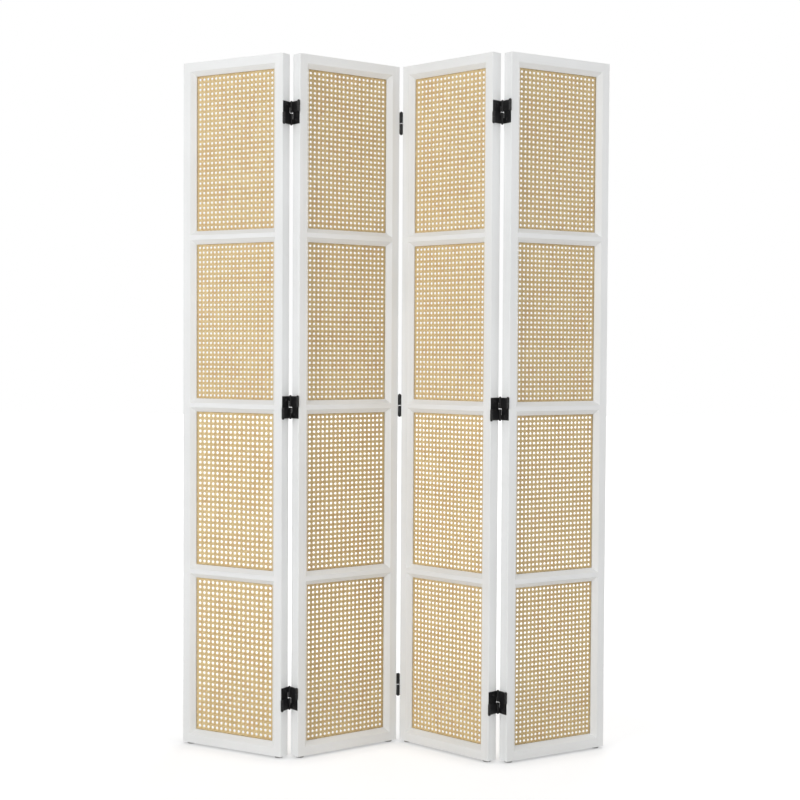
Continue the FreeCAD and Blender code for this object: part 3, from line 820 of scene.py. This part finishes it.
def leaf_mesh(lacquer):
    """One leaf: its plate, and a knuckle low at the front and another high at the back."""
    hinge = settings_of("hinge")
    top = hinge.height / 2
    near = barrel_split() + hinge.knuckle_gap / 2
    narrow, wide, line = hinge.leaf_waist, hinge.leaf_reach, hinge.axis_across
    thickness = hinge.leaf_thickness
    leaf = plate([(-wide, -top), (narrow, -top), (narrow, near), (wide, near),
                  (wide, top), (-narrow, top), (-narrow, -near), (-wide, -near)],
                 0, thickness, hinge.edge)
    reach = hinge.lip_reach
    lip = plate([(-reach, -top), (reach, -top), (reach, top), (-reach, top)],
                0, hinge.lip_thickness, ease=hinge.lip_thickness / 4)
    root_inner = wide - hinge.root_width
    root = plate([(-line, -top), (-root_inner, -top), (-root_inner, -near), (-line, -near)],
                 0, hinge.axis_out, hinge.edge)
    front = barrel(-line, hinge.knuckle_radius, -top, -near)
    solids = [leaf, lip, root, half_turned(root), front, half_turned(front)]
    cuts = pin_bores()
    for height in (-hinge.screw_spacing / 2, hinge.screw_spacing / 2):
        sink = turned((0, 0), [
            (0, -hinge.edge), (hinge.screw_shank, -hinge.edge), (hinge.screw_shank, 0),
            (hinge.screw_radius, thickness), (hinge.screw_radius, 2 * thickness),
            (0, 2 * thickness)], hinge.sides)
        outward = Matrix.Translation((0, 0, height)) @ Matrix.Rotation(math.pi / 2, 4, "Y")
        bmesh.ops.transform(sink, matrix=outward, verts=sink.verts)
        cuts.append(sink)
    return combined("leaf", solids, cuts, lacquer)


def link_mesh(lacquer):
    """One lower link: its plate over half the hinge's height and a knuckle on each side."""
    hinge = settings_of("hinge")
    low, high = -hinge.height / 2, -hinge.split / 2
    shoulder = -barrel_split() + hinge.knuckle_gap / 2
    narrow, line = hinge.link_waist, hinge.axis_across
    half = hinge.leaf_thickness / 2
    body = plate([(-narrow, low), (narrow, low), (narrow, shoulder), (line, shoulder),
                  (line, high), (-line, high), (-line, shoulder), (-narrow, shoulder)],
                 hinge.axis_out - half, hinge.axis_out + half, hinge.edge)
    knuckles = [barrel(across, hinge.knuckle_radius, shoulder, high, hinge.knuckle_round)
                for across in (-line, line)]
    return combined("link", [body, *knuckles], pin_bores(), lacquer)


def pins_mesh(lacquer):
    """The two pins of a leaf: low at the front and high at the back, each with a domed tip."""
    hinge = settings_of("hinge")
    low, high = -hinge.height / 2, -hinge.split / 2
    rise = hinge.tip_height - hinge.tip_rim
    dome = [(hinge.tip_radius * sine, low - hinge.tip_rim - rise * cosine)
            for sine, cosine in quarter_round(hinge.dome_steps)]
    profile = dome + [(hinge.tip_radius, low), (hinge.pin_radius, low),
                      (hinge.pin_radius, high), (0, high)]
    front = turned((hinge.axis_out, -hinge.axis_across), profile, hinge.sides)
    return combined("pins", [front, half_turned(front)], [], lacquer)


class DIVIDER_OT_make_hinges(bpy.types.Operator):
    """Make the hinges' leaves, links and pins"""

    bl_idname = "divider.make_hinges"
    bl_label = "Make hinges"

    def execute(self, context):
        """Make one of each, and set copies at every hinge of every seam."""
        lacquer = hinge_material()
        stack = [Matrix.Translation((0, 0, height)) for height in hinge_heights()]
        leaf, pins, lower = leaf_mesh(lacquer), pins_mesh(lacquer), link_mesh(lacquer)
        upper = moved(lower, "upper_link", [UPSIDE_DOWN])
        for seam, hand, body, edge in edge_frames():
            forms = {f"{hand}_leaves": leaf, f"{hand}_pins": pins,
                     "lower_links": lower, "upper_links": upper}
            carried = frame["record"]["behaviour"]["bodies"][body]
            for form, mesh in forms.items():
                node = f"seam_{seam}_{form}"
                if node in carried:
                    copies = moved(mesh, node, [edge @ lift for lift in stack])
                    new_piece(f"{node}_made", copies, body, [node])
        for mesh in (leaf, pins, lower, upper):
            bpy.data.meshes.remove(mesh)
        return {"FINISHED"}


def screw_material():
    """Blackened steel, worn bright where a driver has turned."""
    hinge = settings_of("hinge")
    material, nodes, place = new_material("blackened_screws")
    grit = noise(nodes, place, scale=2400, detail=2)
    wear_and_shade = spread(nodes, noise(nodes, place, scale=900, detail=3), low=0.5, high=0.72)
    finish_surface(nodes, {
        "Base Color": mixed(nodes, wear_and_shade, hinge.colour, hinge.steel),
        "Metallic": wear_and_shade * 0.8,
        "Roughness": 0.46 - wear_and_shade * 0.16,
        "Normal": bump(nodes, grit, strength=0.2, depth=0.0001),
    })
    return material


def upward(nodes, height):
    """The wire of a vector straight up."""
    return nodes.add("ShaderNodeCombineXYZ", {}, {"Z": height})


def raised(nodes, geometry, height):
    """A geometry moved straight up."""
    return nodes.add("GeometryNodeTransform", {}, {
        "Geometry": geometry, "Translation": upward(nodes, height)})


def screw_tree():
    """Countersunk screws with a cross recess, in rows up a panel's edge."""
    nodes, wires = new_geometry_tree("Hinge screws", {
        "Head Radius": "NodeSocketFloat", "Head Height": "NodeSocketFloat",
        "Shank Radius": "NodeSocketFloat", "Point Radius": "NodeSocketFloat",
        "Shank Length": "NodeSocketFloat", "Recess Width": "NodeSocketFloat",
        "Recess Depth": "NodeSocketFloat", "Screw Spacing": "NodeSocketFloat",
        "Hinges": "NodeSocketInt", "First Height": "NodeSocketFloat",
        "Hinge Step": "NodeSocketFloat", "Sides": "NodeSocketInt",
        "Metal": "NodeSocketMaterial"})
    head, shank = (
        nodes.add("GeometryNodeMeshCone", {"fill_type": "NGON"}, {
            "Vertices": wires["Sides"], "Radius Bottom": wires[lower],
            "Radius Top": wires[upper], "Depth": wires[depth]})
        for lower, upper, depth in (
            ("Shank Radius", "Head Radius", "Head Height"),
            ("Point Radius", "Shank Radius", "Shank Length")))

    # A bar of the cross is centred on the head's face, so it is twice as tall as the recess is deep
    span, gap = wires["Head Radius"] * RECESS_SHARE, wires["Recess Width"]
    for along, across in ((span, gap), (gap, span)):
        size = nodes.add("ShaderNodeCombineXYZ", {}, {
            "X": along, "Y": across, "Z": wires["Recess Depth"] * 2})
        bar = nodes.add("GeometryNodeMeshCube", {}, {"Size": size})
        head = nodes.add("GeometryNodeMeshBoolean", {"operation": "DIFFERENCE", "solver": "EXACT"}, {
            "Mesh 1": head, "Mesh 2": raised(nodes, bar, wires["Head Height"])})
    shank = raised(nodes, shank, 0 - wires["Shank Length"])
    screw = nodes.add("GeometryNodeJoinGeometry", {}, {"Geometry": [head, shank]})
    screw = nodes.add("GeometryNodeTransform", {}, {
        "Geometry": screw, "Rotation": (0, math.pi / 2, 0)})
    for count, start, step in (
            (2, wires["Screw Spacing"] * -0.5, wires["Screw Spacing"]),
            (wires["Hinges"], wires["First Height"], wires["Hinge Step"])):
        points = nodes.add("GeometryNodeMeshLine", {"mode": "OFFSET"}, {
            "Count": count, "Start Location": upward(nodes, start), "Offset": upward(nodes, step)})
        screw = nodes.add("GeometryNodeInstanceOnPoints", {}, {"Points": points, "Instance": screw})
    return close_tree(nodes, screw, wires["Metal"])


class DIVIDER_OT_drive_screws(bpy.types.Operator):
    """Drive the screws that hold the hinges' leaves"""

    bl_idname = "divider.drive_screws"
    bl_label = "Drive screws"

    def execute(self, context):
        """Make the screws of one panel edge, and set a copy at each hinged edge."""
        hinge = settings_of("hinge")
        heights = hinge_heights()
        rows = baked(screw_tree(), {
            "Head Radius": hinge.screw_radius - hinge.pin_clearance,
            "Head Height": hinge.leaf_thickness - hinge.pin_clearance,
            "Shank Radius": hinge.screw_shank - hinge.pin_clearance,
            "Point Radius": hinge.screw_point, "Shank Length": hinge.screw_length,
            "Recess Width": hinge.recess_width, "Recess Depth": hinge.recess_depth,
            "Screw Spacing": hinge.screw_spacing, "Hinges": len(heights),
            "First Height": heights[0], "Hinge Step": heights[1] - heights[0],
            "Sides": hinge.screw_sides, "Metal": screw_material()})
        for seam, hand, body, edge in edge_frames():
            node = f"seam_{seam}_{hand}_screws"
            new_piece(f"{node}_made", moved(rows, node, [edge]), body, [node])
        bpy.data.meshes.remove(rows)
        return {"FINISHED"}


def glide_material():
    """Moulded grey plastic, scuffed."""
    glide = settings_of("glide")
    material, nodes, place = new_material("grey_plastic")
    grit = noise(nodes, place, scale=1800, detail=2)
    scuffs = spread(nodes, noise(nodes, place, scale=220, detail=3), low=0.5, high=0.75)
    finish_surface(nodes, {
        "Base Color": mixed(nodes, scuffs, glide.colour, glide.scuff),
        "Roughness": 0.45 + scuffs * 0.2,
        "Normal": bump(nodes, grit, strength=0.2, depth=0.0001),
    })
    return material


class DIVIDER_OT_make_glides(bpy.types.Operator):
    """Make the glides under the stiles"""

    bl_idname = "divider.make_glides"
    bl_label = "Make glides"

    def execute(self, context):
        """Turn one glide with its nail, and set a copy under each end of each panel."""
        glide = settings_of("glide")
        radius, height, rim, nail = glide.radius, glide.height, glide.rim, glide.nail_radius
        top = height + glide.nail_length
        lower = [(radius - rim + rim * sine, rim - rim * cosine)
                 for sine, cosine in quarter_round(glide.rim_steps)]
        profile = [
            (0, 0), *lower, (radius, height - glide.lip), (radius - glide.lip, height),
            (nail, height), (nail, top - 2 * nail), (0, top)]
        form = combined("glide", [turned((0, 0), profile, glide.sides)], [], glide_material())
        for panel in PANELS:
            node = f"panel_{panel}_glides"
            feet = [Matrix.Translation(foot(panel, hand)) for hand in HANDS]
            new_piece(f"{node}_made", moved(form, node, feet), f"panel_{panel}", [node])
        bpy.data.meshes.remove(form)
        return {"FINISHED"}


def add_lamp(name, place, size, power):
    """A square soft lamp, itself unseen."""
    lamp = bpy.data.lights.new(name, "AREA")
    lamp.energy = power
    lamp.size = size
    holder = new_object(name, lamp)
    holder.location = place
    holder.visible_camera = False
    holder.rotation_euler = (LAMP_AIM - Vector(place)).to_track_quat("-Z", "Y").to_euler()


def floor_material():
    """A pale floor that keeps shadows near the divider and is plain white further off."""
    stage = settings_of("stage")
    material, nodes, place = new_material("pale_floor")
    distance = nodes.add("ShaderNodeVectorMath", {"operation": "LENGTH"}, {"Vector": place}, "Value")
    seen = nodes.add("ShaderNodeLightPath", output="Is Camera Ray")
    whiteness = spread(nodes, distance, stage.glow_start, stage.glow_end, first=stage.floor_glow)
    matt = nodes.add("ShaderNodeBsdfDiffuse", {}, {"Color": (*stage.floor_colour, 1)})
    openness = nodes.add("ShaderNodeAmbientOcclusion", {}, {"Distance": stage.shadow_reach}, "AO")
    shade = spread(nodes, openness, low=0.4, high=1, first=stage.shadow_depth)
    white = nodes.add("ShaderNodeEmission", {}, {"Color": shade, "Strength": stage.floor_white})
    surface = blended(nodes, seen * whiteness, matt, white)
    nodes.add("ShaderNodeOutputMaterial", {}, {"Surface": surface})
    return material


def light_world():
    """White where it is seen or mirrored, and softer as light on the object."""
    world = bpy.data.worlds.new("White studio")
    bpy.context.scene.world = world
    world.use_nodes = True
    world.node_tree.nodes.clear()
    nodes = Nodes(world.node_tree)
    camera, glossy, through = (
        nodes.add("ShaderNodeLightPath", output=f"Is {kind} Ray")
        for kind in ("Camera", "Glossy", "Transmission"))
    seen = camera.math("MAXIMUM", camera.math("MAXIMUM", camera, glossy), through)
    soft, white = (
        nodes.add("ShaderNodeBackground", {}, {"Color": WHITE, "Strength": strength})
        for strength in (settings_of("stage").ambient, 1))
    nodes.add("ShaderNodeOutputWorld", {}, {"Surface": blended(nodes, seen, soft, white)})


class DIVIDER_OT_set_stage(bpy.types.Operator):
    """Set the floor, the lamps and the camera"""

    bl_idname = "divider.set_stage"
    bl_label = "Set stage"

    def execute(self, context):
        """Lay the floor, light it and stand the camera where the picture was taken."""
        stage = settings_of("stage")
        scene = context.scene
        scene.view_settings.view_transform = "Standard"
        shape = bmesh.new()
        bmesh.ops.create_grid(shape, x_segments=1, y_segments=1, size=FLOOR_REACH)
        floor = new_object("floor", combined("floor", [shape], [], floor_material()))
        light_world()
        for lamp, (place, size) in LAMPS.items():
            add_lamp(f"{lamp}_lamp", place, size, getattr(stage, f"{lamp}_power"))
        camera = new_object("camera", bpy.data.cameras.new("camera"))
        camera.data.lens = stage.lens
        tilt = Matrix.Rotation(math.pi / 2 - stage.camera_dip, 4, "X")
        roll = Matrix.Rotation(stage.camera_roll, 4, "Z")
        camera.matrix_world = Matrix.Translation(stage.camera_place) @ tilt @ roll
        scene.camera = camera
        return {"FINISHED"}


class DIVIDER_PT_steps(bpy.types.Panel):
    """The steps that dress the divider"""

    bl_idname = "DIVIDER_PT_steps"
    bl_label = "Folding Room Divider"
    bl_space_type = "VIEW_3D"
    bl_region_type = "UI"
    bl_category = "Divider"

    def draw(self, context):
        """List the steps and the values that a user would change."""
        for step in STEPS:
            self.layout.operator(step.bl_idname)
        for name, group in GROUPS.items():
            box = self.layout.box()
            for prop in group.__annotations__:
                box.prop(getattr(context.scene, name), prop)


GROUPS = {
    "divider_paint": PaintSettings,
    "divider_cane": CaneSettings,
    "divider_hinge": HingeSettings,
    "divider_glide": GlideSettings,
    "divider_stage": StageSettings,
}
STEPS = (
    DIVIDER_OT_paint_frames,
    DIVIDER_OT_weave_cane,
    DIVIDER_OT_make_hinges,
    DIVIDER_OT_drive_screws,
    DIVIDER_OT_make_glides,
    DIVIDER_OT_set_stage,
)


def register():
    """Register the settings, the steps and the panel."""
    for name, group in GROUPS.items():
        bpy.utils.register_class(group)
        setattr(bpy.types.Scene, name, bpy.props.PointerProperty(type=group))
    for step in STEPS:
        bpy.utils.register_class(step)
    bpy.utils.register_class(DIVIDER_PT_steps)


def unregister():
    """Take the panel, the steps and the settings out again."""
    bpy.utils.unregister_class(DIVIDER_PT_steps)
    for step in reversed(STEPS):
        bpy.utils.unregister_class(step)
    for name, group in GROUPS.items():
        delattr(bpy.types.Scene, name)
        bpy.utils.unregister_class(group)


def main():
    """Dress the divider."""
    register()
    bpy.ops.divider.paint_frames()
    bpy.ops.divider.weave_cane()
    bpy.ops.divider.make_hinges()
    bpy.ops.divider.drive_screws()
    bpy.ops.divider.make_glides()
    bpy.ops.divider.set_stage()


if __name__ == "__main__":
    main()
